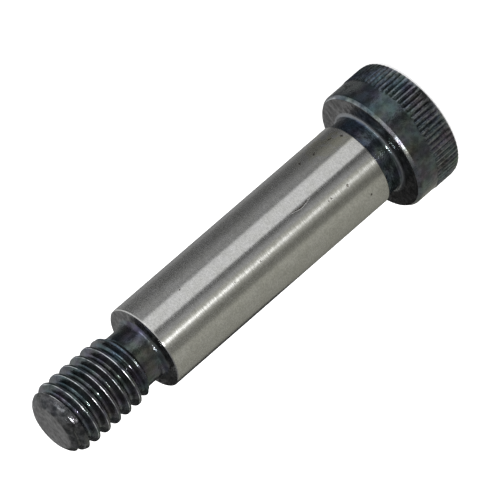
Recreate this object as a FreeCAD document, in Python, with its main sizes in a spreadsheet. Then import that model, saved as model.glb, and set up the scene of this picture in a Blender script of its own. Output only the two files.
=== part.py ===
"""Socket head shoulder bolt, standing on its head.

One turned piece: a knurled head with a hexagon socket, a ground shoulder between two
relieved necks, and a right-hand thread with a blunt point. Millimetres. The origin is
the centre of the head's flat top, which is the surface that the bolt stands on, and +Z
runs up the axis to the threaded tip.
"""
import FreeCAD, Part

import os
import re

import Sketcher

NODE = "shoulder_bolt"

# Driving dimensions: name, value, what it measures.
DIMENSIONS = [
    ("shoulder_diameter", 9.45, "ground shoulder"),
    ("shoulder_length", 31.88, "from under the head to the shoulder's end face"),
    ("shoulder_edge", 0.12, "bevel on both rims of the shoulder"),
    ("head_height", 6.17, "from the head's flat top to the bearing face"),
    ("head_diameter", 13.94, "over the knurl's crests"),
    ("band_step", 0.07, "how far the plain band lies below the knurl's crests"),
    ("band_edge_width", 0.26, "broken edge between the band and the bearing face, seen from above"),
    ("band_edge_height", 0.42, "the same edge, seen from the side"),
    ("knurl_length", 3.33, "from the head's flat top to the plain band"),
    ("knurl_pitch", 0.60, "between grooves, around the head"),
    ("knurl_depth", 0.22, "depth of a knurl groove"),
    ("knurl_angle", 90.0, "degrees between a groove's two sides"),
    ("top_bevel_width", 0.87, "bevel next to the flat top, seen from above"),
    ("top_bevel_height", 0.47, "the same bevel, seen from the side"),
    ("top_edge_width", 0.11, "steep bevel between that one and the knurl, seen from above"),
    ("top_edge_height", 0.66, "the same bevel, seen from the side"),
    ("socket_width", 4.7625, "hexagon across flats"),
    ("socket_depth", 3.70, "straight part of the socket"),
    ("socket_mouth", 0.38, "bevel round the socket's mouth"),
    ("socket_point_angle", 118.0, "degrees across the drilled bottom"),
    ("neck_length", 2.05, "relieved neck under the head"),
    ("neck_undercut", 0.255, "how far the neck lies below the shoulder"),
    ("neck_foot", 0.45, "bevel from the neck to the bearing face"),
    ("thread_diameter", 7.67, "over the worn crests"),
    ("thread_length", 12.60, "from the shoulder's end face to the tip"),
    ("thread_pitch", 1.4111, "eighteen threads to 25.4 mm"),
    ("thread_depth", 0.69, "from crest to root"),
    ("thread_root_flat", 0.26, "width of the groove's floor"),
    ("thread_angle", 60.0, "degrees between the flanks"),
    ("thread_start", 1.337, "height of the groove's start above the shoulder's end face"),
    ("relief_diameter", 6.26, "neck between the shoulder and the thread"),
    ("relief_length", 2.50, "from the shoulder's end face to the foot of the thread"),
    ("relief_fillet", 0.70, "round from that neck to the shoulder's end face"),
    ("runout_diameter", 7.24, "crest of the thread's first turn"),
    ("runout_foot", 0.30, "height of the steep cone at the thread's foot"),
    ("runout_length", 1.20, "height over which the crest comes up to full size"),
    ("tip_diameter", 5.18, "flat on the tip"),
    ("point_diameter", 6.40, "rim between the tip's two cones"),
    ("point_length", 0.60, "height of the blunt cone next to the flat"),
    ("lead_length", 1.15, "height of the slimmer cone below it"),
]

# Places worked out from the driving dimensions, as spreadsheet expressions.
BEARING_FACE = "head_height"
SHOULDER_START = "(head_height + neck_length)"
SHOULDER_END = "(head_height + shoulder_length)"
RELIEF_END = "(head_height + shoulder_length + relief_length)"
TIP = "(head_height + shoulder_length + thread_length)"
POINT_RIM = "(head_height + shoulder_length + thread_length - point_length)"
NECK_RADIUS = "(shoulder_diameter / 2 - neck_undercut)"
BAND_RADIUS = "(head_diameter / 2 - band_step)"


def make_sheet(doc):
    """Spreadsheet of the driving dimensions, one alias a row."""
    sheet = doc.addObject("Spreadsheet::Sheet", "Dimensions")
    for row, (alias, value, meaning) in enumerate(DIMENSIONS, start=1):
        sheet.set(f"A{row}", alias)
        sheet.set(f"B{row}", str(value))
        sheet.set(f"C{row}", meaning)
        sheet.setAlias(f"B{row}", alias)
    doc.recompute()
    return sheet


def bound(expression):
    """The same expression, written for an object outside the sheet.

    Every alias is two or more words joined by underscores, and no function's name is.
    """
    return re.sub(r"\b([a-z]+(?:_[a-z]+)+)\b", r"Dimensions.\1", expression)


def origin_feature(body, role):
    """One of the body's own origin planes or axes."""
    return next(part for part in body.Origin.OriginFeatures if part.Role == role)


def new_sketch(body, name, role):
    """Empty sketch on one of the body's origin planes."""
    sketch = body.newObject("Sketcher::SketchObject", name)
    sketch.AttachmentSupport = [(origin_feature(body, role), "")]
    sketch.MapMode = "FlatFace"
    return sketch


def fix(sketch, kind, places, value, expression):
    """Adds a dimension to a sketch and ties it to the sheet."""
    index = sketch.addConstraint(Sketcher.Constraint(kind, *places, value))
    sketch.setExpression(f"Constraints[{index}]", bound(expression))


def draw_outline(sketch, sheet, corners, rounds=None):
    """Closed outline through the corners, each an (x, y) pair of expressions.

    rounds gives, for the edge that leaves a corner, the expression of an arc's radius
    and the side that it bends to: 1 where the outline turns left along it, else -1.
    """
    rounds = rounds or {}
    points = []
    for corner in corners:
        place = [float(sheet.evalExpression(coordinate)) for coordinate in corner]
        points.append(FreeCAD.Vector(place[0], place[1], 0))
    edges = []
    for number, start in enumerate(points):
        end = points[(number + 1) % len(points)]
        if number in rounds:
            radius, side = rounds[number]
            size = float(sheet.evalExpression(radius))
            half = (end - start) / 2
            # The arc's middle lies off the chord's middle by its sagitta.
            outward = FreeCAD.Vector(half.y, -half.x, 0).normalize() * side
            sagitta = size - (size * size - half.Length * half.Length) ** 0.5
            middle = start + half + outward * sagitta
            edges.append(sketch.addGeometry(Part.Arc(start, middle, end)))
        else:
            edges.append(sketch.addGeometry(Part.LineSegment(start, end)))
    # A counter-clockwise arc that bends to the right is stored end first.
    ends = []
    for number, edge in enumerate(edges):
        turned = number in rounds and rounds[number][1] < 0
        ends.append((2, 1) if turned else (1, 2))
    for number, edge in enumerate(edges):
        following = (number + 1) % len(edges)
        sketch.addConstraint(Sketcher.Constraint(
            "Coincident", edge, ends[number][1], edges[following], ends[following][0]))
    for number, (edge, point) in enumerate(zip(edges, points)):
        for kind, value, expression in zip(
                ("DistanceX", "DistanceY"), (point.x, point.y), corners[number]):
            fix(sketch, kind, (-1, 1, edge, ends[number][0]), value, expression)
        if number in rounds:
            radius = rounds[number][0]
            fix(sketch, "Radius", (edge,), float(sheet.evalExpression(radius)), radius)


def revolve(body, kind, name, sketch):
    """Turns a profile about the bolt's axis, to add or to cut."""
    feature = body.newObject(kind, name)
    feature.Profile = sketch
    feature.ReferenceAxis = (sketch, ["V_Axis"])
    feature.Angle = 360
    sketch.Visibility = False
    return feature


def add_head(body, sheet):
    """Turned head: flat top, two bevels, knurl blank, plain band and bearing face."""
    sketch = new_sketch(body, "HeadProfile", "XZ_Plane")
    corners = [
        ("0", "0"),
        ("head_diameter / 2 - top_edge_width - top_bevel_width", "0"),
        ("head_diameter / 2 - top_edge_width", "top_bevel_height"),
        ("head_diameter / 2", "top_bevel_height + top_edge_height"),
        ("head_diameter / 2", "knurl_length"),
        (BAND_RADIUS, "knurl_length"),
        (BAND_RADIUS, f"{BEARING_FACE} - band_edge_height"),
        (f"{BAND_RADIUS} - band_edge_width", BEARING_FACE),
        ("0", BEARING_FACE),
    ]
    draw_outline(sketch, sheet, corners)
    return revolve(body, "PartDesign::Revolution", "Head", sketch)


def add_shank(body, sheet):
    """Turned shank: relieved neck, ground shoulder, thread relief and thread blank."""
    sketch = new_sketch(body, "ShankProfile", "XZ_Plane")
    corners = [
        ("0", BEARING_FACE),
        (f"{NECK_RADIUS} + neck_foot", BEARING_FACE),
        (NECK_RADIUS, f"{BEARING_FACE} + neck_foot"),
        (NECK_RADIUS, SHOULDER_START),
        ("shoulder_diameter / 2 - shoulder_edge", SHOULDER_START),
        ("shoulder_diameter / 2", f"{SHOULDER_START} + shoulder_edge"),
        ("shoulder_diameter / 2", f"{SHOULDER_END} - shoulder_edge"),
        ("shoulder_diameter / 2 - shoulder_edge", SHOULDER_END),
        ("relief_diameter / 2 + relief_fillet", SHOULDER_END),
        ("relief_diameter / 2", f"{SHOULDER_END} + relief_fillet"),
        ("relief_diameter / 2", RELIEF_END),
        ("runout_diameter / 2", f"{RELIEF_END} + runout_foot"),
        ("thread_diameter / 2", f"{RELIEF_END} + runout_foot + runout_length"),
        ("thread_diameter / 2", f"{POINT_RIM} - lead_length"),
        ("point_diameter / 2", POINT_RIM),
        ("tip_diameter / 2", TIP),
        ("0", TIP),
    ]
    draw_outline(sketch, sheet, corners, {8: ("relief_fillet", -1)})
    return revolve(body, "PartDesign::Revolution", "Shank", sketch)


def cut_socket(body, sheet):
    """Hexagon socket with a drilled bottom and a bevelled mouth."""
    sketch = new_sketch(body, "SocketHexagon", "XY_Plane")
    across_corners = "socket_width / 2 / cos(30 deg)"
    corners = [(f"{across_corners} * cos({60 * n + 30} deg)", f"{across_corners} * sin({60 * n + 30} deg)")
               for n in range(6)]
    draw_outline(sketch, sheet, corners)
    pocket = body.newObject("PartDesign::Pocket", "Socket")
    pocket.Profile = sketch
    pocket.setExpression("Length", bound("socket_depth"))
    pocket.Reversed = True
    sketch.Visibility = False

    bottom = new_sketch(body, "SocketBottomProfile", "XZ_Plane")
    cone_height = "socket_width / 2 / tan(socket_point_angle / 2 * 1 deg)"
    draw_outline(bottom, sheet, [
        ("0", "socket_depth"),
        ("socket_width / 2", "socket_depth"),
        ("0", f"socket_depth + {cone_height}"),
    ])
    revolve(body, "PartDesign::Groove", "SocketBottom", bottom)

    mouth = new_sketch(body, "SocketMouthProfile", "XZ_Plane")
    draw_outline(mouth, sheet, [
        ("0", "0"),
        ("socket_width / 2 + socket_mouth", "0"),
        ("socket_width / 2", "socket_mouth"),
        ("0", "socket_mouth"),
    ])
    return revolve(body, "PartDesign::Groove", "SocketMouth", mouth)


def cut_knurl(body, sheet):
    """Straight knurl: one V groove along the head, repeated all round it."""
    sketch = new_sketch(body, "KnurlGrooveProfile", "XY_Plane")
    spread = "knurl_depth * 2 * tan(knurl_angle / 2 * 1 deg)"
    draw_outline(sketch, sheet, [
        ("head_diameter / 2 - knurl_depth", "0"),
        ("head_diameter / 2 + knurl_depth", f"0 - {spread}"),
        ("head_diameter / 2 + knurl_depth", spread),
    ])
    groove = body.newObject("PartDesign::Pocket", "KnurlGroove")
    groove.Profile = sketch
    groove.setExpression("Length", bound("knurl_length"))
    groove.Reversed = True
    sketch.Visibility = False
    FreeCAD.ActiveDocument.recompute()

    pattern = body.newObject("PartDesign::PolarPattern", "Knurl")
    pattern.Originals = [groove]
    pattern.Axis = (origin_feature(body, "Z_Axis"), [""])
    pattern.Angle = 360
    pattern.setExpression("Occurrences", bound("round(pi * head_diameter / knurl_pitch)"))
    body.Tip = pattern
    return pattern


def cut_thread(body, sheet):
    """Right-hand thread: a V groove wound up the shank from its relief past the tip."""
    sketch = new_sketch(body, "ThreadGrooveProfile", "XZ_Plane")
    start = f"({SHOULDER_END} + thread_start)"
    flank = "tan(thread_angle / 2 * 1 deg)"
    floor_half = "(thread_root_flat / 2)"
    # The profile reaches past the crests by a fifth of the thread's depth.
    mouth_half = f"({floor_half} + thread_depth * 1.2 * {flank})"
    floor_x = "thread_diameter / 2 - thread_depth"
    mouth_x = "thread_diameter / 2 + thread_depth * 0.2"
    draw_outline(sketch, sheet, [
        (floor_x, f"{start} - {floor_half}"),
        (mouth_x, f"{start} - {mouth_half}"),
        (mouth_x, f"{start} + {mouth_half}"),
        (floor_x, f"{start} + {floor_half}"),
    ])
    thread = body.newObject("PartDesign::SubtractiveHelix", "Thread")
    thread.Profile = sketch
    thread.ReferenceAxis = (sketch, ["V_Axis"])
    thread.Mode = "pitch-height-angle"
    thread.setExpression("Pitch", bound("thread_pitch"))
    thread.setExpression("Height", bound("thread_length - thread_start + thread_pitch / 2"))
    thread.LeftHanded = False
    thread.Reversed = False
    sketch.Visibility = False
    return thread


def check(doc, body):
    """Stops if any object failed to compute or the body isn't one valid solid."""
    for item in doc.Objects:
        for state in ("Invalid", "Error"):
            if state in item.State:
                raise RuntimeError(f"{item.Name} is {item.State}")
    if body.Shape.isNull() or not body.Shape.isValid() or len(body.Shape.Solids) != 1:
        raise RuntimeError(f"{body.Label} isn't one valid solid")


def main():
    doc = FreeCAD.newDocument("ShoulderBolt")
    sheet = make_sheet(doc)
    body = doc.addObject("PartDesign::Body", "ShoulderBolt")
    body.Label = NODE
    body.Placement = FreeCAD.Placement()

    volume = 0.0
    steps = [(add_head, 1), (add_shank, 1), (cut_socket, -1), (cut_knurl, -1), (cut_thread, -1)]
    for step, sign in steps:
        feature = step(body, sheet)
        doc.recompute()
        change = feature.Shape.Volume - volume
        if change * sign <= 0:
            raise RuntimeError(f"{feature.Name} changed the volume by {change:.3f} mm3")
        volume = feature.Shape.Volume
        print(f"{feature.Name}: {volume:.2f} mm3")
    check(doc, body)

    os.makedirs("parts", exist_ok=True)
    body.Shape.exportStep(f"parts/{NODE}.step")
    box = body.Shape.BoundBox
    print(f"{NODE}: {box.XLength:.3f} x {box.YLength:.3f} x {box.ZLength:.3f} mm")


main()
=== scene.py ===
"""Looks of a socket head shoulder bolt, standing on its head.

The bolt is one closed skin: a knurled head with a hexagon socket, a ground shoulder
between two relieved necks, and a right-hand thread. The shapes are worked out in
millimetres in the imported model's frame and brought to metres as the mesh is made.
"""

import math
import random

import bpy
import numpy as np
from mathutils import Matrix, Vector


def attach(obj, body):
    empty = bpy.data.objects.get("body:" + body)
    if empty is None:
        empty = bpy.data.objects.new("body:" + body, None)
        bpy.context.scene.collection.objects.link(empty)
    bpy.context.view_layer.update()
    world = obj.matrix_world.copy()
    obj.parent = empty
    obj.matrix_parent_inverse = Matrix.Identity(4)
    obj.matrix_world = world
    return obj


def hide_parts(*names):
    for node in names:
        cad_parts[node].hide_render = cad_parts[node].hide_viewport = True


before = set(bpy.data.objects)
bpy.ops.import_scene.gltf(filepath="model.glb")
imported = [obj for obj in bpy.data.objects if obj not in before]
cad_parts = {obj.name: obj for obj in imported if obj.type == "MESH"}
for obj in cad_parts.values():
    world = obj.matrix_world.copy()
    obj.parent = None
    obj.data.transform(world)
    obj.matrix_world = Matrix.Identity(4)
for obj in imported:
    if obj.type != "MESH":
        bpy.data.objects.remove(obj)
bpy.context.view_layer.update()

MM = 0.001
TAU = 2 * math.pi

# Camera, in metres and degrees. The picture is square.
LOOK_AT = Vector((0.001166, 0.0, 0.022858))
CAMERA_DISTANCE = 0.579342
CAMERA_ELEVATION = 22.139
CAMERA_ROLL = -130.870
SENSOR_WIDTH = 36.0
LENS = 431.36

# Head, in millimetres from the flat top that the bolt stands on.
HEAD_HEIGHT = 6.17
HEAD_RADIUS = 6.97
FLAT_TOP_RADIUS = 5.99
TOP_BEVEL = (6.86, 0.47)
TOP_EDGE_HEIGHT = 1.13
MID_KNURL = 2.0
BAND_RADIUS = 6.90
BAND_START = 4.4
BAND_EDGE_START = 5.80
BEARING_RADIUS = 6.64

# Knurl, in millimetres. The spreads are from groove to groove, that of the depth as factors.
KNURL_TEETH = 73
KNURL_COLUMNS = 10
KNURL_DEPTH = 0.20
KNURL_DEPTH_SPREAD = (0.86, 1.08)
KNURL_HALF_WIDTH = 0.155
KNURL_FLOOR_ROUND = 0.03
KNURL_EDGE_ROUND = 0.04
KNURL_PHASE = math.radians(-1.03)
KNURL_END = 3.33
KNURL_END_SPREAD = 0.07
KNURL_FADE = 0.12
RIDGE_ROUND = 0.03
RIDGE_MIDDLE = 0.30
RIDGE_BLEND = 0.12
RIDGE_WEAR = 0.34
RIDGE_WEAR_START = 0.15
HEAD_COLUMNS = KNURL_TEETH * KNURL_COLUMNS
GROOVE_END_ROWS = (2.35, 4.05, 0.1)

# Hexagon socket.
SOCKET_FLAT = 4.7625 / 2
SOCKET_DEPTH = 3.70
SOCKET_MOUTH = SOCKET_FLAT + 0.38
SOCKET_POINT = 5.13
SOCKET_LEDGE = 0.003

# Shank.
NECK_RADIUS = 4.47
NECK_FILLET = 0.45
SHOULDER_RADIUS = 4.725
SHOULDER_START = 8.22
SHOULDER_END = 38.05
SHOULDER_EDGE = 0.09
SHOULDER_MIDDLE = 23.0
RELIEF_RADIUS = 3.13
RELIEF_FILLET = 0.70
RELIEF_END = 40.55

# Thread, its ridged run-out and its point.
RUNOUT_FOOT = (3.62, 40.85)
RUNOUT_TOP = 42.05
RUNOUT_RIDGES = 4
RUNOUT_RIDGE_DEPTH = 0.12
RUNOUT_RIDGE_WEAR = 0.18
RUNOUT_FADE = 0.3
THREAD_RADIUS = 3.835
THREAD_PITCH = 1.4111
THREAD_ORIGIN = 39.387
THREAD_ROOT_RADIUS = 3.145
THREAD_ROOT_HALF = 0.17
THREAD_ROOT_ROUND = 0.29
THREAD_CREST_ROUND = 0.10
THREAD_MID_FLANK = 3.4
LEAD_START = 48.90
LEAD_CURVE = [(3.74, 49.20), (3.63, 49.48), (3.50, 49.78), (3.35, 50.06)]
POINT_RIM = (3.08, 50.34)
TIP_RADIUS = 2.59
TIP = 50.65

SHANK_COLUMNS = 144
LATTICE_START = 39.20
LATTICE_END = 50.20

# Level of the sky on the -X side and on the +X side.
WORLD_DARK_SIDE = 0.22
WORLD_BRIGHT_SIDE = 1.0

# Pits and scuffs on the shoulder: height in mm, angle about the axis in degrees, radius in mm.
MARKS = [
    (8.85, -48.8, 0.14), (9.94, -39.3, 0.12), (13.95, -37.9, 0.13), (12.30, -42.2, 0.11),
    (12.10, -40.8, 0.10), (9.70, -40.2, 0.10), (14.05, -39.6, 0.08),
    (12.34, -102.4, 0.13), (10.51, -133.4, 0.11), (32.85, -64.1, 0.08), (30.99, -38.8, 0.07),
    (14.55, -101.3, 0.08), (14.95, -102.0, 0.06), (24.6, -102.6, 0.06), (28.1, -101.6, 0.05),
]

# A curved scuff along the shoulder: the heights of its ends, its angle, how far it bows
# and its radius at the ends, which doubles at the middle.
SCUFF_ENDS = (16.3, 18.9)
SCUFF_ANGLE = -83.2
SCUFF_BOW = -2.2
SCUFF_STEPS = 16
SCUFF_RADIUS = 0.05

# Middle of a painted highlight on the head's plain band.
BAND_HIGHLIGHT = (6.30, -2.80, 4.30)

# Colours of the two finishes. The neck's colour, a blue tint with painted shade, multiplies the others.
STEEL_DULL = (0.49, 0.49, 0.475, 1)
STEEL_CLEAN = (0.525, 0.525, 0.52, 1)
STEEL_STAIN = (0.46, 0.452, 0.36, 1)
STEEL_PIT = (0.08, 0.07, 0.06, 1)
# The oxide's two sides: painted light on the -X side, painted shade on the +X side.
OXIDE_PAINTED_LIGHT_MINUS_X = (0.079, 0.089, 0.096, 1)
OXIDE_PAINTED_SHADE_PLUS_X = (0.057, 0.072, 0.087, 1)
# Blue tint with painted shade for the neck under the head.
OXIDE_NECK_TINT_AND_SHADE = (0.80, 0.90, 0.98, 1)
# Painted highlight on the fillet at the neck's foot.
OXIDE_FILLET_HIGHLIGHT = (0.20, 0.21, 0.22, 1)
# Painted highlight on the head's plain band.
OXIDE_BAND_HIGHLIGHT = (0.26, 0.28, 0.285, 1)
OXIDE_RUBBED = (0.55, 0.57, 0.59, 1)
WHITE = (1, 1, 1, 1)

BLACK, GROUND = 0, 1


def arc(before, corner, after, radius, steps):
    """Points of the round of that radius on a profile's corner, from one side to the other."""
    corner = Vector(corner)
    back = (Vector(before) - corner).normalized()
    ahead = (Vector(after) - corner).normalized()
    half = back.angle(ahead) / 2
    centre = corner + (back + ahead).normalized() * (radius / math.sin(half))
    first = corner + back * (radius / math.tan(half)) - centre
    last = corner + ahead * (radius / math.tan(half)) - centre
    start = math.atan2(first.y, first.x)
    turn = math.remainder(math.atan2(last.y, last.x) - start, TAU)
    angles = [start + turn * step / steps for step in range(steps + 1)]
    return [(centre.x + radius * math.cos(a), centre.y + radius * math.sin(a)) for a in angles]


def rounded(corners):
    """Profile points from (radius, height, round, steps) corners. A round of 0 keeps a corner."""
    points = []
    for number, (x, y, size, steps) in enumerate(corners):
        if size == 0:
            points.append((x, y))
        else:
            points += arc(corners[number - 1][:2], (x, y), corners[number + 1][:2], size, steps)
    return points


def circle(radius, height, count, phase=0.0):
    """Points of a ring about the axis. The radius and height may differ from point to point."""
    angle = phase + TAU * np.arange(count) / count
    height = np.zeros(count) + height
    return np.stack([radius * np.cos(angle), radius * np.sin(angle), height], axis=-1)


class Skin:
    """Points and faces of one closed surface, laid ring by ring from the socket to the tip."""

    def __init__(self):
        self.points = []
        self.wear = []
        self.deep = []
        self.faces = []
        self.finishes = []

    def point(self, place, wear=0.0, deep=0.0):
        """Adds a point and returns its number.

        wear is 1 where the black is rubbed through, deep is 1 down in a groove, where it is duller and
        painted darker as shade.
        """
        self.points.append(tuple(place))
        self.wear.append(float(wear))
        self.deep.append(float(deep))
        return len(self.points) - 1

    def ring(self, points, wear=0.0, deep=0.0):
        """Adds a ring and returns its point numbers."""
        wear = np.zeros(len(points)) + wear
        deep = np.zeros(len(points)) + deep
        return [self.point(*values) for values in zip(points, wear, deep)]

    def face(self, corners, finish=BLACK):
        self.faces.append(corners)
        self.finishes.append(finish)

    def band(self, lower, upper, finish=BLACK):
        """Four-sided faces between two rings with as many points each."""
        for i in range(len(lower)):
            j = (i + 1) % len(lower)
            self.face((lower[i], lower[j], upper[j], upper[i]), finish)

    def stitch(self, lower, upper):
        """Triangles between two rings whose point counts differ."""
        i = j = 0
        while i < len(lower) or j < len(upper):
            a, b = lower[i % len(lower)], upper[j % len(upper)]
            if (i + 1) * len(upper) <= (j + 1) * len(lower):
                i += 1
                self.face((a, lower[i % len(lower)], b))
            else:
                j += 1
                self.face((a, upper[j % len(upper)], b))

    def fan(self, ring, tip, outward):
        """Triangles from a ring to a point on the axis, which closes the skin."""
        centre = self.point(tip)
        for i in range(len(ring)):
            j = (i + 1) % len(ring)
            pair = (ring[i], ring[j]) if outward else (ring[j], ring[i])
            self.face((*pair, centre))

    def turned(self, profile, last, finish=BLACK):
        """Rings along a profile, each joined to the one before. Returns the last of them."""
        for radius, height in profile:
            ring = self.ring(circle(radius, height, SHANK_COLUMNS))
            self.band(last, ring, finish)
            last = ring
        return last


def hexagon(count):
    """Distance from the axis to the socket's wall, with flats across the X axis."""
    angle = TAU * np.arange(count) / count
    off_flat = (angle + math.pi / 6) % (math.pi / 3) - math.pi / 6
    return SOCKET_FLAT / np.cos(off_flat)


def add_socket(skin):
    """Hexagon socket, from its drilled point to its bevelled mouth. Returns the mouth's ring."""
    wall = hexagon(SHANK_COLUMNS)
    bottom = skin.ring(circle(SOCKET_FLAT, SOCKET_DEPTH, SHANK_COLUMNS))
    skin.fan(bottom, (0, 0, SOCKET_POINT), False)
    foot_radius = np.maximum(wall, SOCKET_FLAT + SOCKET_LEDGE)
    foot = skin.ring(circle(foot_radius, SOCKET_DEPTH, SHANK_COLUMNS))
    skin.band(bottom, foot)
    rim = skin.ring(circle(wall, SOCKET_MOUTH - wall, SHANK_COLUMNS))
    skin.band(foot, rim)
    mouth = skin.ring(circle(SOCKET_MOUTH, 0.0, SHANK_COLUMNS))
    skin.band(rim, mouth)
    return mouth


def band_edge_wear(radius, angle):
    """Rubbing on the bearing face's bevel and along its rim, in stretches round the head."""
    on_rim = max(0.0, 1.0 - abs(radius - BEARING_RADIUS - 0.03) / 0.07)
    on_bevel = BEARING_RADIUS < radius < BAND_RADIUS - 0.01
    stretches = np.clip(0.40 + 0.6 * np.cos(2 * angle + 0.9) + 0.3 * np.cos(5 * angle), 0.0, 1.0)
    return np.maximum(0.7 * on_rim * stretches, 0.30 * on_bevel * (0.6 + 0.4 * stretches))


def knurl_end(angle, tooth, draws):
    """Height at which each column's groove runs out into the plain band."""
    drift = 0.14 * np.cos(angle + 2.2) + 0.09 * np.cos(3 * angle + 0.6) + 0.05 * np.cos(7 * angle)
    return KNURL_END + drift + draws[tooth]


def knurl():
    """Angle, depth, rubbing and end height of the knurl, column by column round the head."""
    column = np.arange(HEAD_COLUMNS)
    angle = KNURL_PHASE + TAU * column / HEAD_COLUMNS
    half = KNURL_COLUMNS // 2
    tooth = ((column + half) // KNURL_COLUMNS) % KNURL_TEETH
    off_groove = (column + half) % KNURL_COLUMNS - half
    across = np.abs(off_groove) * TAU * HEAD_RADIUS / HEAD_COLUMNS
    luck = random.Random(11)
    depths = np.array([luck.uniform(*KNURL_DEPTH_SPREAD) for _ in range(KNURL_TEETH)]) * KNURL_DEPTH
    ends = np.array([luck.uniform(-KNURL_END_SPREAD, KNURL_END_SPREAD) for _ in range(KNURL_TEETH)])
    below = depths[tooth] * (1.05 - np.hypot(across, KNURL_FLOOR_ROUND) / KNURL_HALF_WIDTH)
    depth = 0.5 * (below + np.hypot(below, KNURL_EDGE_ROUND))
    # The ridges are a little rounded, and rubbed along their middles.
    depth = depth + RIDGE_ROUND * np.clip((RIDGE_MIDDLE - across) / RIDGE_BLEND, 0.0, 1.0)
    rubbed = RIDGE_WEAR * np.clip((across - RIDGE_WEAR_START) / RIDGE_BLEND, 0.0, 1.0)
    return angle, depth, rubbed, knurl_end(angle, tooth, ends)


def head_profile():
    """Outline of the head from its flat top to its bearing face."""
    top = rounded([
        (5.6, 0.0, 0, 0),
        (FLAT_TOP_RADIUS, 0.0, 0.25, 3),
        (*TOP_BEVEL, 0.55, 5),
        (HEAD_RADIUS, TOP_EDGE_HEIGHT, 1.6, 2),
        (HEAD_RADIUS, MID_KNURL, 0, 0),
    ])
    middle = [(HEAD_RADIUS, height) for height in np.arange(*GROOVE_END_ROWS)]
    foot = rounded([
        (BAND_RADIUS, BAND_START, 0, 0),
        (BAND_RADIUS, BAND_EDGE_START, 0.35, 4),
        (BEARING_RADIUS, HEAD_HEIGHT, 0.12, 4),
        (6.3, HEAD_HEIGHT, 0, 0),
    ])
    return top + middle + foot


def add_head(skin, mouth):
    """Flat top, knurl, plain band and bearing face. Returns the ring on the bearing face."""
    angle, depth, ridge_wear, end = knurl()
    inner = skin.ring(circle(5.4, 0.0, SHANK_COLUMNS))
    skin.band(mouth, inner)
    last = None
    for radius, height in head_profile():
        band = np.clip((height - end + KNURL_FADE) / (2 * KNURL_FADE), 0.0, 1.0)
        band = band * band * (3 - 2 * band)
        # The grooves run on over the head's round, a little shallower.
        cut = np.minimum(radius, HEAD_RADIUS + 0.003 - depth)
        cut = np.minimum(cut, radius - depth * np.clip((height - 0.1) / 0.6, 0.0, 0.55))
        plain = min(radius, BAND_RADIUS) if height > MID_KNURL else radius
        rubbed = ridge_wear * (1 - band) * (0.3 < height < 4.0)
        if height > BAND_EDGE_START:
            rubbed = band_edge_wear(radius, angle)
        # How far down a knurl groove each point is: there the oxide is duller, and painted darker as
        # painted shade.
        groove_dull_and_shade = np.clip((depth - 0.05) / 0.2, 0.0, 1.0) * (1 - band) * (height > 0.2)
        outline = circle(cut * (1 - band) + plain * band, height, HEAD_COLUMNS, KNURL_PHASE)
        ring = skin.ring(outline, rubbed, groove_dull_and_shade)
        if last is None:
            skin.stitch(inner, ring)
        else:
            skin.band(last, ring)
        last = ring
    face = skin.ring(circle(6.2, HEAD_HEIGHT, SHANK_COLUMNS))
    skin.stitch(last, face)
    return face


def add_neck_and_shoulder(skin, face):
    """Filleted neck, ground shoulder, its end face and the relief. Returns the relief's ring."""
    inside_edge = SHOULDER_RADIUS - SHOULDER_EDGE
    neck = rounded([
        (5.4, HEAD_HEIGHT, 0, 0),
        (NECK_RADIUS, HEAD_HEIGHT, NECK_FILLET, 7),
        (NECK_RADIUS, SHOULDER_START, 0.06, 3),
        (inside_edge, SHOULDER_START, 0, 0),
    ])
    ground = rounded([
        (inside_edge, SHOULDER_START, 0, 0),
        (SHOULDER_RADIUS, SHOULDER_START + SHOULDER_EDGE, 0.10, 3),
        (SHOULDER_RADIUS, SHOULDER_MIDDLE, 0, 0),
        (SHOULDER_RADIUS, SHOULDER_END - SHOULDER_EDGE, 0.04, 3),
        (inside_edge, SHOULDER_END, 0, 0),
    ])[1:]
    relief = rounded([
        (inside_edge, SHOULDER_END, 0, 0),
        (inside_edge - 0.05, SHOULDER_END, 0, 0),
        (RELIEF_RADIUS, SHOULDER_END, RELIEF_FILLET, 9),
        (RELIEF_RADIUS, 39.0, 0, 0),
    ])[1:]
    ring = skin.turned(neck, face)
    ring = skin.turned(ground, ring, GROUND)
    return skin.turned(relief, ring)


def thread_phases():
    """Offsets along one pitch, from a groove's middle to the next, with that profile's radii."""
    slope = math.tan(math.radians(60))
    crest_half = THREAD_PITCH / 2 - THREAD_ROOT_HALF - (THREAD_RADIUS - THREAD_ROOT_RADIUS) / slope
    crest_edge = THREAD_PITCH / 2 - crest_half
    half = rounded([
        (0.0, THREAD_ROOT_RADIUS, 0, 0),
        (THREAD_ROOT_HALF, THREAD_ROOT_RADIUS, THREAD_ROOT_ROUND, 5),
        (crest_edge, THREAD_RADIUS, THREAD_CREST_ROUND, 4),
        (THREAD_PITCH / 2 - 0.05, THREAD_RADIUS, 0, 0),
        (THREAD_PITCH / 2, THREAD_RADIUS, 0, 0),
    ])
    # The flank is one long step of the profile, so two points are put between its ends.
    flank = half.index(max(point for point in half if point[1] < THREAD_MID_FLANK))
    low, high = half[flank], half[flank + 1]
    shares = (1 / 3, 2 / 3)
    between = [(low[0] + (high[0] - low[0]) * t, low[1] + (high[1] - low[1]) * t) for t in shares]
    half = half[:flank + 1] + between + half[flank + 1:]
    other = [(THREAD_PITCH - x, y) for x, y in reversed(half[1:-1])]
    return half + other


def crest_wear(offsets):
    """How rubbed each point of the thread's profile is: its crests' edges, most on the tip's side."""
    off_middle = offsets - THREAD_PITCH / 2
    edge = np.clip(1.2 - np.abs(np.abs(off_middle) - 0.11) / 0.05, 0.0, 1.0)
    return edge * np.where(off_middle > 0, 1.0, 0.25)


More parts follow.
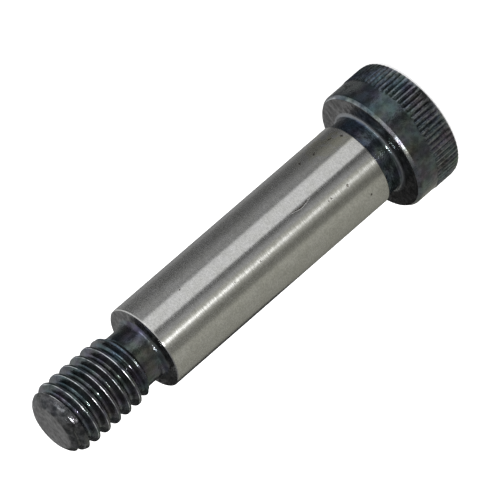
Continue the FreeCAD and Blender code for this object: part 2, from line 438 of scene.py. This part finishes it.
def blank_radius(height):
    """Radius of the thread's blank, before the groove: run-out, crest, lead and point."""
    outline = [
        (RELIEF_RADIUS, LATTICE_START), (RELIEF_RADIUS, RELIEF_END), RUNOUT_FOOT,
        (THREAD_RADIUS, RUNOUT_TOP), (THREAD_RADIUS, LEAD_START), *LEAD_CURVE, POINT_RIM,
        (TIP_RADIUS, TIP),
    ]
    radii, heights = zip(*outline)
    return np.interp(height, heights, radii)


def runout_ridges(along, shares):
    """Depth between the ridges of the run-out, and how rubbed they are."""
    reach = np.clip((along - RELIEF_END) / RUNOUT_FADE, 0.0, 1.0)
    reach = reach * np.clip((RUNOUT_TOP - along) / RUNOUT_FADE, 0.0, 1.0)
    wave = np.cos(TAU * RUNOUT_RIDGES * shares)
    depth = RUNOUT_RIDGE_DEPTH * reach * (0.5 + 0.5 * wave)
    rubbed = RUNOUT_RIDGE_WEAR * reach * (0.5 - 0.5 * wave) ** 3
    return depth, rubbed


def thread_column(along, profile, edges, shares):
    """Radius and rubbing of the thread up one column of its lattice."""
    blank = blank_radius(along)
    radius = np.minimum(profile, blank)
    rubbed = np.where(profile <= blank + 0.03, edges, 0.0)
    on_lead = (along > LEAD_START - 0.3) & (along < LEAD_START + 0.8)
    lead_edge = np.clip(1.0 - np.abs(profile - blank) / 0.10, 0.0, 1.0)
    rubbed = np.maximum(rubbed, on_lead * lead_edge)
    ridge_depth, ridge_wear = runout_ridges(along, shares)
    radius = radius - ridge_depth
    rubbed = np.maximum(rubbed, ridge_wear)
    radius = np.where(along <= LATTICE_START, RELIEF_RADIUS, radius)
    radius = np.where(along >= LATTICE_END, blank_radius(LATTICE_END), radius)
    return radius, rubbed


def add_thread_points(skin, phases):
    """Points of the thread's lattice. Returns their numbers, by column and row."""
    # The groove's middle lies at THREAD_ORIGIN, plus a pitch for each turn, on the +X side.
    first = math.floor((LATTICE_START - THREAD_PITCH - THREAD_ORIGIN) / THREAD_PITCH)
    turns = math.ceil((LATTICE_END - THREAD_ORIGIN) / THREAD_PITCH) - first + 1
    offsets = np.array([phase[0] for phase in phases])
    starts = [THREAD_ORIGIN + (first + turn) * THREAD_PITCH for turn in range(turns)]
    heights = np.concatenate([start + offsets for start in starts])
    profile = np.tile([phase[1] for phase in phases], turns)
    edges = np.tile(crest_wear(offsets), turns)
    shares = np.tile(offsets / THREAD_PITCH, turns)
    rows = len(heights)
    numbers = np.zeros((SHANK_COLUMNS + 1, rows), dtype=int)
    for column in range(SHANK_COLUMNS):
        angle = TAU * column / SHANK_COLUMNS
        along = heights + THREAD_PITCH * column / SHANK_COLUMNS
        along = np.clip(along, LATTICE_START, LATTICE_END)
        radius, rubbed = thread_column(along, profile, edges, shares)
        for row in range(rows):
            if row and along[row] == along[row - 1]:
                numbers[column, row] = numbers[column, row - 1]
                continue
            place = (radius[row] * math.cos(angle), radius[row] * math.sin(angle), along[row])
            numbers[column, row] = skin.point(place, rubbed[row])
    # After one turn a row meets the row one pitch higher.
    upper = np.minimum(np.arange(rows) + len(phases), rows - 1)
    numbers[SHANK_COLUMNS] = numbers[0, upper]
    return numbers


def add_thread(skin, relief):
    """Helical lattice of the thread, sheared so that its rows follow the groove."""
    numbers = add_thread_points(skin, thread_phases())
    for left, right in zip(numbers[:-1], numbers[1:]):
        for row in range(len(left) - 1):
            corners = (left[row], right[row], right[row + 1], left[row + 1])
            corners = tuple(dict.fromkeys(int(number) for number in corners))
            if len(corners) > 2:
                skin.face(corners)
    skin.band(relief, [int(number) for number in numbers[:SHANK_COLUMNS, 0]])
    return [int(number) for number in numbers[:SHANK_COLUMNS, -1]]


def add_tip(skin, ring):
    """Blunt cone at the end of the thread, and the flat on it, a little hollow."""
    point = rounded([
        (*POINT_RIM, 0, 0),
        (TIP_RADIUS, TIP, 0.5, 5),
        (2.3, TIP, 0, 0),
    ])
    ring = skin.turned(point + [(1.2, TIP - 0.01)], ring)
    skin.fan(ring, (0, 0, TIP - 0.015), True)


def add_object(name, points, faces):
    """Adds an object with a mesh of its own. Its points are in metres."""
    mesh = bpy.data.meshes.new(name)
    mesh.from_pydata(points, [], faces)
    thing = bpy.data.objects.new(name, mesh)
    bpy.context.scene.collection.objects.link(thing)
    return thing


def make_bolt(materials):
    """The whole bolt as one closed mesh, in metres."""
    skin = Skin()
    mouth = add_socket(skin)
    face = add_head(skin, mouth)
    relief = add_neck_and_shoulder(skin, face)
    ring = add_thread(skin, relief)
    add_tip(skin, ring)
    bolt = add_object("bolt", [(x * MM, y * MM, z * MM) for x, y, z in skin.points], skin.faces)
    mesh = bolt.data
    for material in materials:
        mesh.materials.append(material)
    mesh.polygons.foreach_set("material_index", skin.finishes)
    mesh.attributes.new("wear", "FLOAT", "POINT").data.foreach_set("value", skin.wear)
    mesh.attributes.new("deep", "FLOAT", "POINT").data.foreach_set("value", skin.deep)
    mesh.shade_smooth()
    mesh.set_sharp_from_angle(angle=math.radians(32))
    mesh.update()
    return bolt


def node(tree, kind, inputs=None, **settings):
    """Adds a shader node. Each input is a value, or a socket to link from."""
    made = tree.nodes.new("ShaderNode" + kind)
    for name, value in settings.items():
        setattr(made, name, value)
    for key, value in (inputs or {}).items():
        if isinstance(value, bpy.types.NodeSocket):
            tree.links.new(value, made.inputs[key])
        else:
            made.inputs[key].default_value = value
    return made


def calc(tree, operation, a, b=0.0):
    """One Math node's result."""
    return node(tree, "Math", {0: a, 1: b}, operation=operation).outputs[0]


def product(tree, *values):
    """All the values multiplied together."""
    result = values[0]
    for value in values[1:]:
        result = calc(tree, "MULTIPLY", result, value)
    return result


def noise(tree, place, scale, detail=3.0, roughness=0.5):
    """Noise between about 0 and 1. place is in millimetres, scale is cells to the millimetre."""
    inputs = {"Vector": place, "Scale": scale, "Detail": detail, "Roughness": roughness}
    return node(tree, "TexNoise", inputs).outputs["Fac"]


def colour_noise(tree, place, scale, detail):
    """Noise of the same kind in three channels."""
    return node(tree, "TexNoise", {"Vector": place, "Scale": scale, "Detail": detail}).outputs["Color"]


def ramp(tree, value, low, high, out_low=0.0, out_high=1.0):
    """value taken from low..high to out_low..out_high, smoothly and no further."""
    inputs = {0: value, 1: low, 2: high, 3: out_low, 4: out_high}
    return node(tree, "MapRange", inputs, interpolation_type="SMOOTHSTEP").outputs[0]


def mix_colour(tree, share, a, b, blend="MIX"):
    """Two colours mixed by a share."""
    made = node(tree, "Mix", {0: share, 6: a, 7: b}, data_type="RGBA", blend_type=blend)
    return made.outputs[2]


def tinted(tree, colour, by):
    """A colour multiplied by another."""
    return mix_colour(tree, 1.0, colour, by, "MULTIPLY")


def grey(tree, level):
    """A grey of that level."""
    return node(tree, "CombineColor", {0: level, 1: level, 2: level}).outputs[0]


def stretched(tree, place, scale):
    """The place with its axes scaled, so that noise made from it is drawn out."""
    return node(tree, "VectorMath", {0: place, 1: scale}, operation="MULTIPLY").outputs[0]


def millimetres(tree):
    """The place on the object, in millimetres."""
    return stretched(tree, node(tree, "TexCoord").outputs["Object"], (1000, 1000, 1000))


def distance(tree, place, centre):
    """How far the place is from the centre."""
    made = node(tree, "VectorMath", {0: place, 1: centre}, operation="DISTANCE")
    return made.outputs["Value"]


def bump(tree, strength, depth, height, below=None, invert=False):
    """A bumped normal, on top of the one below if that is given."""
    inputs = {"Strength": strength, "Distance": depth, "Height": height}
    if below is not None:
        inputs["Normal"] = below
    return node(tree, "Bump", inputs, invert=invert).outputs[0]


def new_material(name):
    material = bpy.data.materials.new(name)
    material.use_nodes = True
    tree = material.node_tree
    return material, tree, tree.nodes["Principled BSDF"]


def marks(tree, place):
    """Share of the small pits and scuffs on the shoulder, each a ball about a place on it."""
    spots = list(MARKS)
    for step in range(SCUFF_STEPS):
        share = (step + 0.5) / SCUFF_STEPS
        height = SCUFF_ENDS[0] + share * (SCUFF_ENDS[1] - SCUFF_ENDS[0])
        bow = math.sin(math.pi * share)
        spots.append((height, SCUFF_ANGLE + SCUFF_BOW * bow, SCUFF_RADIUS + SCUFF_RADIUS * bow))
    total = 0.0
    for height, angle, size in spots:
        turn = math.radians(angle)
        centre = (SHOULDER_RADIUS * math.cos(turn), SHOULDER_RADIUS * math.sin(turn), height)
        spot = ramp(tree, distance(tree, place, centre), size * 0.6, size * 1.5, 1.0, 0.0)
        total = calc(tree, "MAXIMUM", spot, total)
    return total


def ragged(tree, place):
    """The place moved about a little, so that round spots made from it get ragged edges."""
    moved = colour_noise(tree, place, 5.0, 2.0)
    moved = node(tree, "VectorMath", {0: moved, 1: (0.5, 0.5, 0.5)}, operation="SUBTRACT").outputs[0]
    inputs = {0: moved, 1: (0.16, 0.16, 0.16), 2: place}
    return node(tree, "VectorMath", inputs, operation="MULTIPLY_ADD").outputs[0]


def steel_colour(tree, place, pits):
    """Bare steel's colour: cloudy, flecked, stained olive near the head, and dark in the pits."""
    cloudy = noise(tree, place, 0.7, 4.0, 0.6)
    colour = mix_colour(tree, ramp(tree, cloudy, 0.35, 0.65), STEEL_DULL, STEEL_CLEAN)
    flecks = noise(tree, stretched(tree, place, (4.0, 4.0, 6.0)), 1.0, 2.0, 0.6)
    colour = tinted(tree, colour, grey(tree, ramp(tree, flecks, 0.35, 0.65, 0.89, 1.09)))
    # The stains are on the +X side.
    x, _, height = node(tree, "SeparateXYZ", {0: place}).outputs
    near_head = product(tree, ramp(tree, height, 9.0, 17.0, 1.0, 0.0), ramp(tree, x, 1.4, 3.2))
    stains = product(tree, near_head, ramp(tree, cloudy, 0.46, 0.58, 0.0, 0.9))
    colour = mix_colour(tree, stains, colour, STEEL_STAIN)
    return mix_colour(tree, product(tree, pits, 0.9), colour, STEEL_PIT)


def ground_steel():
    """Bare steel, ground round and round, so that reflections are drawn out along the axis."""
    material, tree, shader = new_material("ground_steel")
    place = millimetres(tree)
    pits = marks(tree, ragged(tree, place))
    tree.links.new(steel_colour(tree, place, pits), shader.inputs["Base Color"])
    scratches = noise(tree, stretched(tree, place, (0.9, 0.9, 8.0)), 1.0, 4.0, 0.6)
    rough = ramp(tree, scratches, 0.3, 0.7, 0.22, 0.28)
    rough = calc(tree, "ADD", rough, product(tree, pits, 0.1))
    tree.links.new(rough, shader.inputs["Roughness"])
    shader.inputs["Metallic"].default_value = 1.0
    shader.inputs["Anisotropic"].default_value = 1.0
    shader.inputs["Anisotropic Rotation"].default_value = 0.25
    tangent = node(tree, "Tangent", direction_type="RADIAL", axis="Z")
    tree.links.new(tangent.outputs[0], shader.inputs["Tangent"])
    mottle = noise(tree, stretched(tree, place, (2.6, 2.6, 4.6)), 1.0, 3.0, 0.7)
    normal = bump(tree, 0.3, 0.000008, mottle)
    normal = bump(tree, 0.4, 0.00003, pits, normal, invert=True)
    normal = bump(tree, 0.04, 0.00002, scratches, normal)
    tree.links.new(normal, shader.inputs["Normal"])
    return material


def oxide_tint(tree, place, x, height, uneven):
    """Colour of the untouched oxide, patchy, painted lighter on the -X side and darker on the +X side
    as painted light and shade, and a speckled grey on the flat ends and the point.
    """
    # Painted light and shade by side: lighter towards -X, darker towards +X.
    tint = mix_colour(tree, ramp(tree, x, -1.0, 4.0), OXIDE_PAINTED_LIGHT_MINUS_X, OXIDE_PAINTED_SHADE_PLUS_X)
    # A thin oxide shows faint blue, green and violet patches.
    tint = mix_colour(tree, 0.45, tint, colour_noise(tree, place, 0.55, 3.0), "OVERLAY")
    normal = node(tree, "NewGeometry").outputs["Normal"]
    facing = calc(tree, "ABSOLUTE", node(tree, "SeparateXYZ", {0: normal}).outputs["Z"])
    point = product(tree, ramp(tree, height, 48.9, 49.4), 0.8)
    flat = calc(tree, "MAXIMUM", ramp(tree, facing, 0.8, 0.95), point)
    speckle = ramp(tree, noise(tree, place, 1.5, 5.0, 0.7), 0.39, 0.61, 0.026, 0.104)
    tint = mix_colour(tree, flat, tint, grey(tree, speckle))
    return tinted(tree, tint, grey(tree, ramp(tree, uneven, 0.36, 0.62, 0.70, 1.30)))


def head_tint(tree, tint, place, height, from_axis, uneven):
    """The tint with the knurl's grain, painted highlights on the neck's fillet and on the band, and the
    neck's blue tint with painted shade.
    """
    # The knurl is the grainiest.
    grain = ramp(tree, noise(tree, place, 4.5, 3.0, 0.7), 0.36, 0.64, 0.55, 1.55)
    tint = mix_colour(tree, in_knurl(tree, height), tint, tinted(tree, tint, grey(tree, grain)))
    # The fillet at the neck's foot is painted paler than what lies round it, as a painted highlight.
    inner = ramp(tree, from_axis, 4.50, 4.62)
    outer = ramp(tree, from_axis, 4.84, 4.98, 1.0, 0.0)
    fillet_highlight = product(tree, inner, outer, ramp(tree, height, 6.6, 6.8, 0.75, 0.0))
    tint = mix_colour(tree, fillet_highlight, tint, OXIDE_FILLET_HIGHLIGHT)
    # The neck under the head is bluer, and painted darker as painted shade.
    tint = mix_colour(tree, in_neck(tree, height), tint, tinted(tree, tint, OXIDE_NECK_TINT_AND_SHADE))
    # The band has a patchy painted highlight on its +X side.
    near_band_highlight = ramp(tree, distance(tree, place, BAND_HIGHLIGHT), 0.8, 2.0, 1.0, 0.0)
    band_highlight = product(tree, near_band_highlight, ramp(tree, uneven, 0.32, 0.46), ramp(tree, height, 3.3, 3.6))
    return mix_colour(tree, band_highlight, tint, OXIDE_BAND_HIGHLIGHT)


def in_knurl(tree, height):
    """Share of the knurl."""
    return ramp(tree, height, 3.1, 3.6, 1.0, 0.0)


def in_neck(tree, height):
    """Share of the neck between the head and the shoulder."""
    return product(tree, ramp(tree, height, 6.2, 6.5), ramp(tree, height, 8.2, 8.4, 1.0, 0.0))


def length_across(tree, x, y):
    """Distance from the bolt's axis."""
    across = node(tree, "CombineXYZ", {0: x, 1: y}).outputs[0]
    return node(tree, "VectorMath", {0: across}, operation="LENGTH").outputs["Value"]


def black_oxide():
    """Oiled black oxide over turned and rolled steel, rubbed through on the sharpest edges."""
    material, tree, shader = new_material("black_oxide")
    place = millimetres(tree)
    x, y, height = node(tree, "SeparateXYZ", {0: place}).outputs
    from_axis = length_across(tree, x, y)
    uneven = noise(tree, place, 1.3, 4.0, 0.6)
    fine = noise(tree, place, 6.0, 4.0, 0.6)
    worn = node(tree, "Attribute", attribute_name="wear").outputs["Fac"]
    deep = node(tree, "Attribute", attribute_name="deep").outputs["Fac"]
    patchy = ramp(tree, noise(tree, place, 0.9, 3.0), 0.35, 0.6, 0.25, 1.0)
    bare = ramp(tree, product(tree, worn, patchy), 0.05, 0.9)

    tint = oxide_tint(tree, place, x, height, uneven)
    tint = head_tint(tree, tint, place, height, from_axis, uneven)
    # Painted shade down in the knurl's grooves, darkest towards the +X side.
    darkest_groove_shade = ramp(tree, x, 1.0, 5.0, 0.62, 0.25)
    tint = tinted(tree, tint, grey(tree, ramp(tree, deep, 0.0, 1.0, 1.0, darkest_groove_shade)))
    colour = mix_colour(tree, bare, tint, OXIDE_RUBBED)
    tree.links.new(colour, shader.inputs["Base Color"])

    # Oil lies in the thread's roots, on the relief and in the neck.
    oiled = calc(tree, "MAXIMUM", ramp(tree, from_axis, 3.3, 3.5, 1.0, 0.0), in_neck(tree, height))
    gloss = ramp(tree, fine, 0.3, 0.7, 0.13, 0.22)
    gloss = product(tree, gloss, ramp(tree, oiled, 0.0, 1.0, 1.0, 0.55))
    rough = calc(tree, "ADD", gloss, product(tree, deep, 0.3))
    rough = calc(tree, "ADD", rough, product(tree, bare, 0.08))
    # The bearing face's bevel is scuffed dull.
    on_bevel = product(tree, ramp(tree, height, 5.76, 5.84), ramp(tree, from_axis, 6.58, 6.66))
    rough = calc(tree, "ADD", rough, product(tree, on_bevel, 0.13))
    tree.links.new(rough, shader.inputs["Roughness"])
    shader.inputs["Metallic"].default_value = 0.92

    grainy = product(tree, fine, ramp(tree, in_knurl(tree, height), 0.0, 1.0, 1.0, 5.0))
    normal = bump(tree, 0.9, 0.00007, uneven)
    normal = bump(tree, 0.2, 0.00002, grainy, normal)
    tree.links.new(normal, shader.inputs["Normal"])
    return material


def direction(azimuth, elevation):
    """Unit vector towards a place round the bolt. Azimuth 0 is the camera's side, 90 is +X."""
    a, e = math.radians(azimuth), math.radians(elevation)
    return Vector((math.sin(a) * math.cos(e), -math.cos(a) * math.cos(e), math.sin(e)))


def make_camera():
    """Camera at the photograph's place, rolled so that the bolt lies across the picture."""
    data = bpy.data.cameras.new("camera")
    data.sensor_width = SENSOR_WIDTH
    data.lens = LENS
    data.clip_start = 0.01
    data.clip_end = 20.0
    camera = bpy.data.objects.new("camera", data)
    bpy.context.scene.collection.objects.link(camera)
    roll = math.radians(CAMERA_ROLL)
    back = direction(0.0, CAMERA_ELEVATION)
    level = Vector((1.0, 0.0, 0.0))
    upright = back.cross(level)
    right = math.cos(roll) * level + math.sin(roll) * upright
    up = math.cos(roll) * upright - math.sin(roll) * level
    place = LOOK_AT + back * CAMERA_DISTANCE
    camera.matrix_world = Matrix.Translation(place) @ Matrix((right, up, back)).transposed().to_4x4()
    bpy.context.scene.camera = camera


def make_lamp(name, azimuth, elevation, distance, size, radiance):
    """Area lamp that faces the bolt: wide and high as size says, or round if that is one number."""
    data = bpy.data.lights.new(name, "AREA")
    if isinstance(size, tuple):
        data.shape = "RECTANGLE"
        data.size, data.size_y = size
        area = size[0] * size[1]
    else:
        data.shape = "DISK"
        data.size = size
        area = math.pi * size * size / 4
    data.energy = radiance * math.pi * area
    lamp = bpy.data.objects.new(name, data)
    bpy.context.scene.collection.objects.link(lamp)
    towards = direction(azimuth, elevation)
    lamp.location = LOOK_AT + towards * distance
    lamp.rotation_mode = "QUATERNION"
    lamp.rotation_quaternion = towards.to_track_quat("Z", "Y")


# Grey of the cards round the bolt, by azimuth in degrees. Only the bolt's gloss shows them.
CARD_GREYS = [
    (-180, 0.12), (-157, 0.24), (-139, 0.30), (-127, 0.37), (-109, 0.43), (-87, 0.47), (-66, 0.56),
    (-60, 0.48), (-54, 0.28), (-42, 0.22), (-36, 0.34), (-31, 0.44), (-17, 0.56), (-12, 0.52),
    (-7, 0.46), (-2, 0.39), (3, 0.25), (8, 0.11), (14, 0.16), (17, 1.0), (50, 1.0), (54, 0.28),
    (68, 0.33), (80, 0.24), (92, 0.14), (104, 0.12), (117, 0.14), (127, 0.20), (139, 0.35), (180, 0.16),
]

# The cards below this azimuth are a little warm: these are the factors of their red and blue.
WARM_BELOW = -10
WARM_RED, WARM_BLUE = 1.01, 0.87

# The cards' ring, in metres: its inner and outer radius and how high it lies.
CARD_RING = (0.0063, 0.8)
CARD_HEIGHT = 0.0001
CARD_STEPS = 96


def studio_greys(tree, place):
    """Grey of the surroundings by azimuth, seen from the bolt's axis."""
    x, y = node(tree, "SeparateXYZ", {0: place}).outputs[:2]
    turned = node(tree, "CombineXYZ", {0: calc(tree, "MULTIPLY", y, -1.0), 1: x}).outputs[0]
    turn = node(tree, "TexGradient", {"Vector": turned}, gradient_type="RADIAL")
    greys = node(tree, "ValToRGB", {"Fac": turn.outputs["Fac"]})
    stops = greys.color_ramp.elements
    stops.remove(stops[0])
    for number, (azimuth, level) in enumerate(CARD_GREYS):
        position = azimuth / 360 + 0.5
        stop = stops[0] if number == 0 else stops.new(position)
        stop.position = position
        red, blue = (WARM_RED, WARM_BLUE) if azimuth < WARM_BELOW else (1.0, 1.0)
        stop.color = (level * red, level, level * blue, 1)
    return greys.outputs["Color"]


def make_world():
    """Soft light, stronger from the +X side. Low down it goes on with the cards' greys."""
    world = bpy.data.worlds.new("studio")
    world.use_nodes = True
    tree = world.node_tree
    towards = node(tree, "TexCoord").outputs["Generated"]
    x, _, z = node(tree, "SeparateXYZ", {0: towards}).outputs
    sky = grey(tree, ramp(tree, x, -0.9, 0.9, WORLD_DARK_SIDE, WORLD_BRIGHT_SIDE))
    colour = mix_colour(tree, ramp(tree, z, 0.03, 0.28), studio_greys(tree, towards), sky)
    rays = node(tree, "LightPath")
    seen = calc(tree, "MAXIMUM", rays.outputs["Is Camera Ray"], rays.outputs["Is Transmission Ray"])
    background = tree.nodes["Background"]
    tree.links.new(mix_colour(tree, seen, colour, WHITE), background.inputs["Color"])
    background.inputs["Strength"].default_value = 1.0
    bpy.context.scene.world = world


def make_floor():
    """Plain pale floor that shows as white, and keeps the bolt's shadow."""
    half = 3.0
    corners = [(-half, -half, 0), (half, -half, 0), (half, half, 0), (-half, half, 0)]
    floor = add_object("floor", corners, [(0, 1, 2, 3)])
    material, tree, shader = new_material("floor")
    shader.inputs["Base Color"].default_value = (0.8, 0.8, 0.8, 1)
    shader.inputs["Roughness"].default_value = 0.9
    rays = node(tree, "LightPath").outputs
    reflected = calc(tree, "MAXIMUM", rays["Is Glossy Ray"], rays["Is Transmission Ray"])
    lift = node(tree, "Emission", {"Color": WHITE, "Strength": 0.7})
    lifted = node(tree, "AddShader", {0: shader.outputs[0], 1: lift.outputs[0]})
    white = node(tree, "Emission", {"Color": WHITE, "Strength": 1.0})
    seen = {0: rays["Is Camera Ray"], 1: shader.outputs[0], 2: lifted.outputs[0]}
    shown = node(tree, "MixShader", seen)
    mixed = node(tree, "MixShader", {0: reflected, 1: shown.outputs[0], 2: white.outputs[0]})
    tree.links.new(mixed.outputs[0], tree.nodes["Material Output"].inputs["Surface"])
    floor.data.materials.append(material)


def make_cards():
    """Ring of grey cards just above the floor, which glow with their greys, and which the part's gloss
    reflects in bands.
    """
    angles = [TAU * i / CARD_STEPS for i in range(CARD_STEPS)]
    points = [(radius * math.cos(a), radius * math.sin(a), 0) for radius in CARD_RING for a in angles]
    faces = []
    for i in range(CARD_STEPS):
        j = (i + 1) % CARD_STEPS
        faces.append((i, CARD_STEPS + i, CARD_STEPS + j, j))
    cards = add_object("cards", points, faces)
    cards.location.z = CARD_HEIGHT
    material, tree, _ = new_material("cards")
    place = node(tree, "TexCoord").outputs["Object"]
    glow = node(tree, "Emission", {"Color": studio_greys(tree, place), "Strength": 1.0})
    tree.links.new(glow.outputs[0], tree.nodes["Material Output"].inputs["Surface"])
    material.cycles.emission_sampling = "NONE"
    cards.data.materials.append(material)
    hide_but_from_gloss(cards)


def hide_but_from_gloss(thing):
    """Lets only the gloss of other things show it."""
    thing.visible_camera = False
    thing.visible_diffuse = False
    thing.visible_transmission = False
    thing.visible_shadow = False


def make_panel():
    """Dark upright panel behind the bolt on its -X side, which darkens the lower end faces."""
    x0, x1 = -0.024, -0.0032
    z0, z1 = 0.011, 0.057
    y = 0.025
    corners = [(x0, y, z0), (x1, y, z0), (x1, y, z1), (x0, y, z1)]
    panel = add_object("panel", corners, [(0, 1, 2, 3)])
    material, tree, shader = new_material("panel")
    shader.inputs["Base Color"].default_value = (0.02, 0.02, 0.02, 1)
    shader.inputs["Roughness"].default_value = 0.9
    panel.data.materials.append(material)
    hide_but_from_gloss(panel)


make_camera()
make_world()
make_floor()
make_cards()
make_lamp("key", azimuth=35, elevation=38, distance=0.9, size=(0.62, 0.24), radiance=2.2)
make_lamp("spark", azimuth=-25.5, elevation=38, distance=1.8, size=0.034, radiance=8700.0)
make_panel()

bolt = make_bolt([black_oxide(), ground_steel()])
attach(bolt, "root")
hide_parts("shoulder_bolt")

bpy.context.scene.view_settings.view_transform = "Standard"
